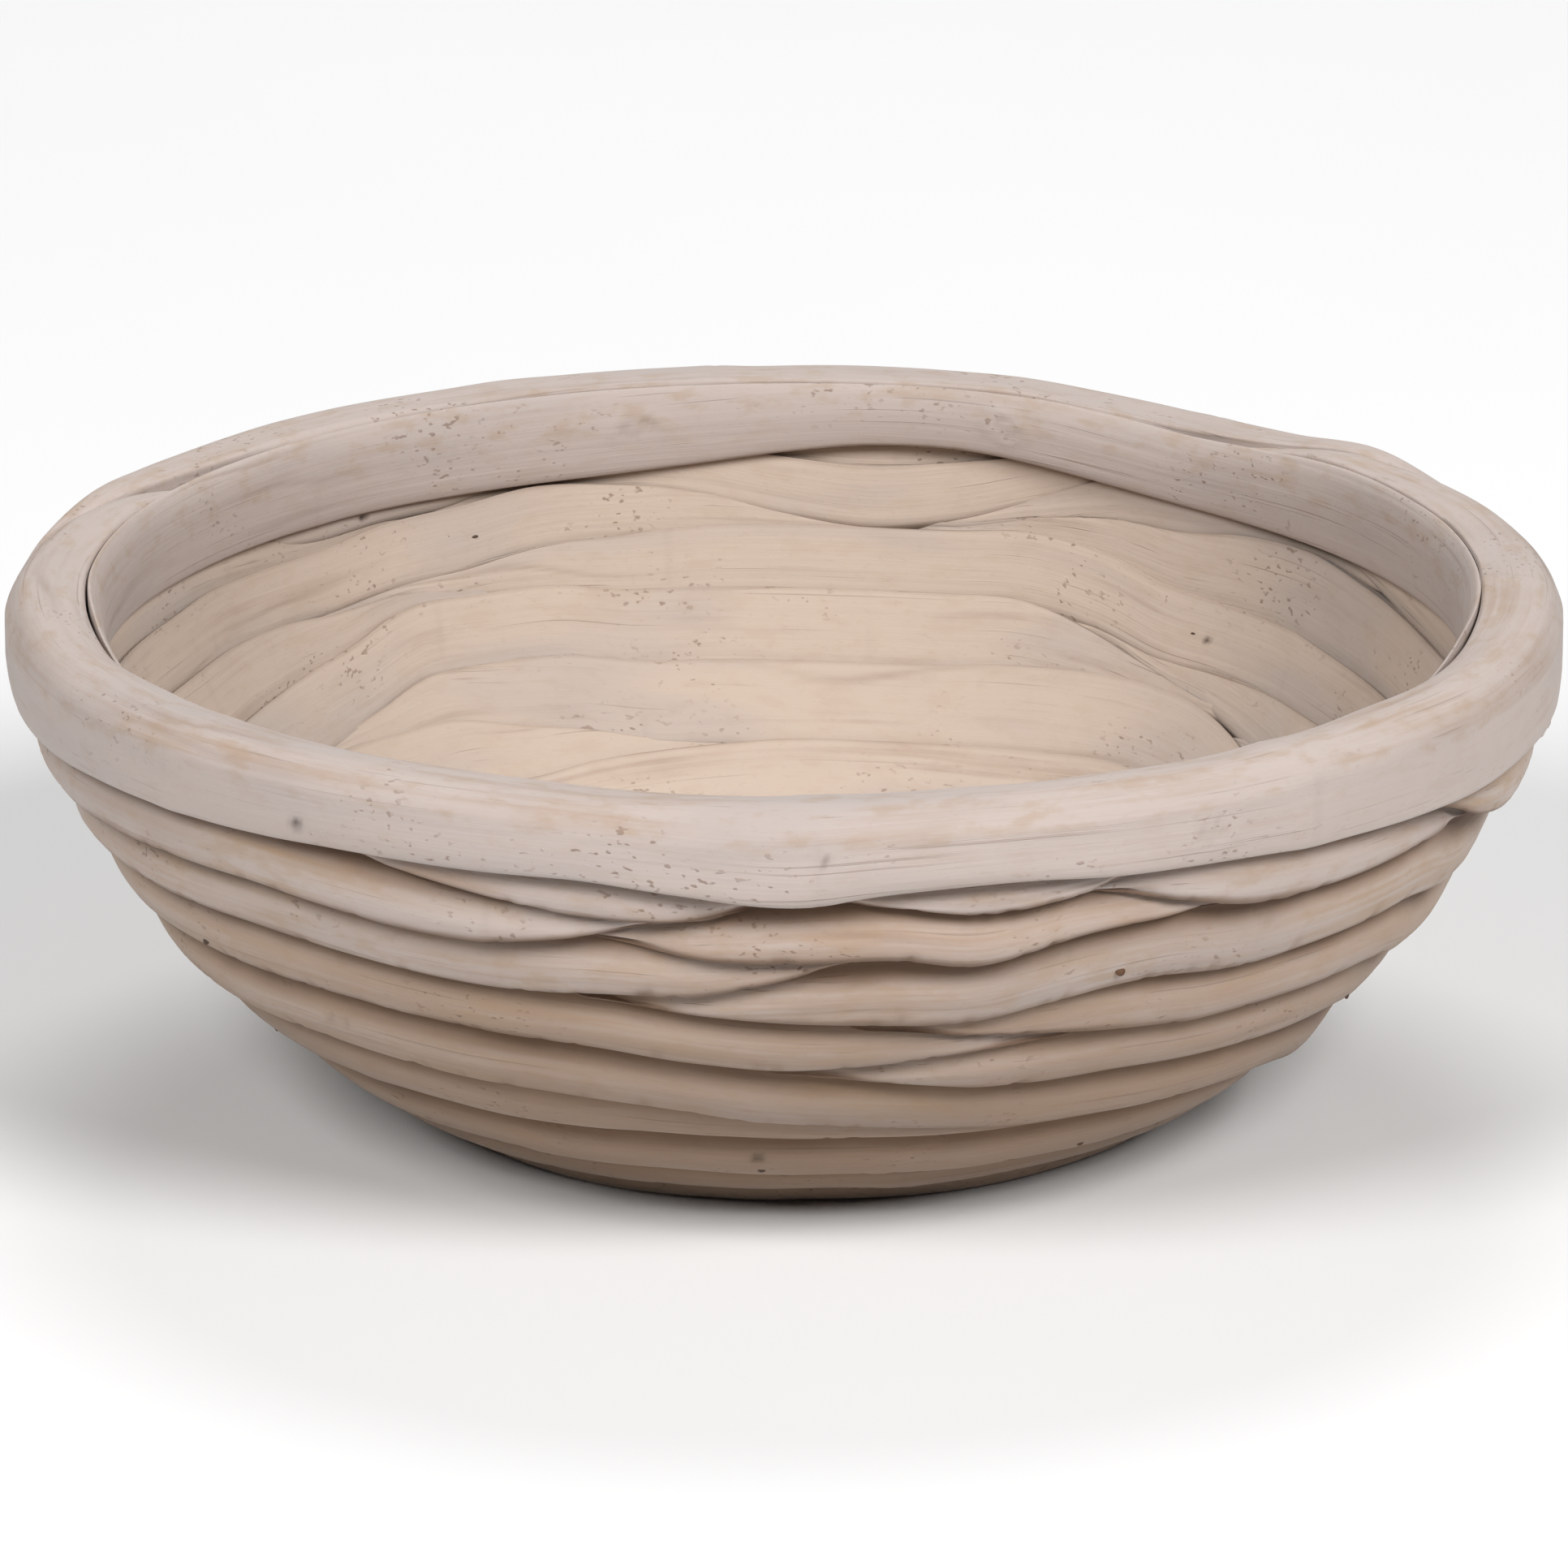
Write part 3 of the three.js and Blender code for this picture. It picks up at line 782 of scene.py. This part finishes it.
# ---- Studio --------------------------------------------------------------------------------------

def add_floor():
    mesh = bpy.data.meshes.new("floor")
    corners = [(x * FLOOR_HALF, y * FLOOR_HALF, 0) for x, y in ((-1, -1), (1, -1), (1, 1), (-1, 1))]
    mesh.from_pydata(corners, [], [(0, 1, 2, 3)])
    mesh.materials.append(floor_material("pale_floor"))
    linked("floor", mesh)


def add_light(name, place, size, power, aim):
    data = bpy.data.lights.new(name, "AREA")
    data.shape = "DISK"
    data.size = size
    data.energy = power
    light = linked(name, data)
    light.location = place
    direction = np.array(aim) - np.array(place)
    yaw = math.atan2(direction[1], direction[0]) - math.pi / 2
    pitch = math.atan2(direction[2], math.hypot(direction[0], direction[1])) + math.pi / 2
    light.rotation_euler = (pitch, 0, yaw)


def add_lights():
    world = bpy.data.worlds.new("studio")
    world.use_nodes = True
    background = world.node_tree.nodes["Background"]
    background.inputs["Color"].default_value = (1, 1, 1, 1)
    background.inputs["Strength"].default_value = WORLD_STRENGTH
    bpy.context.scene.world = world
    for light in LIGHTS:
        add_light(*light)


def add_camera():
    data = bpy.data.cameras.new("camera")
    data.lens = CAMERA_LENS
    data.sensor_width = CAMERA_SENSOR
    data.clip_end = CAMERA_REACH
    camera = linked("camera", data)
    back = CAMERA_DISTANCE * math.cos(CAMERA_ELEVATION)
    up = CAMERA_DISTANCE * math.sin(CAMERA_ELEVATION)
    camera.location = (AIM[0], AIM[1] - back, AIM[2] + up)
    camera.rotation_euler = (math.pi / 2 - CAMERA_ELEVATION, 0, 0)
    bpy.context.scene.camera = camera


# ---- The basket ----------------------------------------------------------------------------------

def family_of(node):
    """The foot and base canes are built as the wall's own are."""
    first_word = node.split("_")[0]
    return first_word if first_word in ("floor", "rim") else "wall"


add_camera()
add_floor()
add_lights()
bpy.context.scene.view_settings.view_transform = "Standard"

MATERIALS = {
    # Wall canes: paint, darkening towards the foot (worn paint and painted shade), and painted shade in
    # the grooves
    "wall_cane": cane_material("limed_wall_cane", 0.38, 0.62, 0.85),
    "rim_cane": cane_material("limed_rim_cane", 0.5, 0.0, 0.0),
    "floor_cane": cane_material("limed_floor_cane", 0.44, 0.0, 0.0),
    "brad_wire": wire_material("dark_wire"),
}

for node_name, slot_name in NODE_SLOT.items():
    if slot_name == "brad_wire":
        fine = build_brad(node_name)
    else:
        fine = build_cane(node_name, family_of(node_name))
    fine.data.materials.append(MATERIALS[slot_name])
    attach(fine, "root")
    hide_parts(node_name)
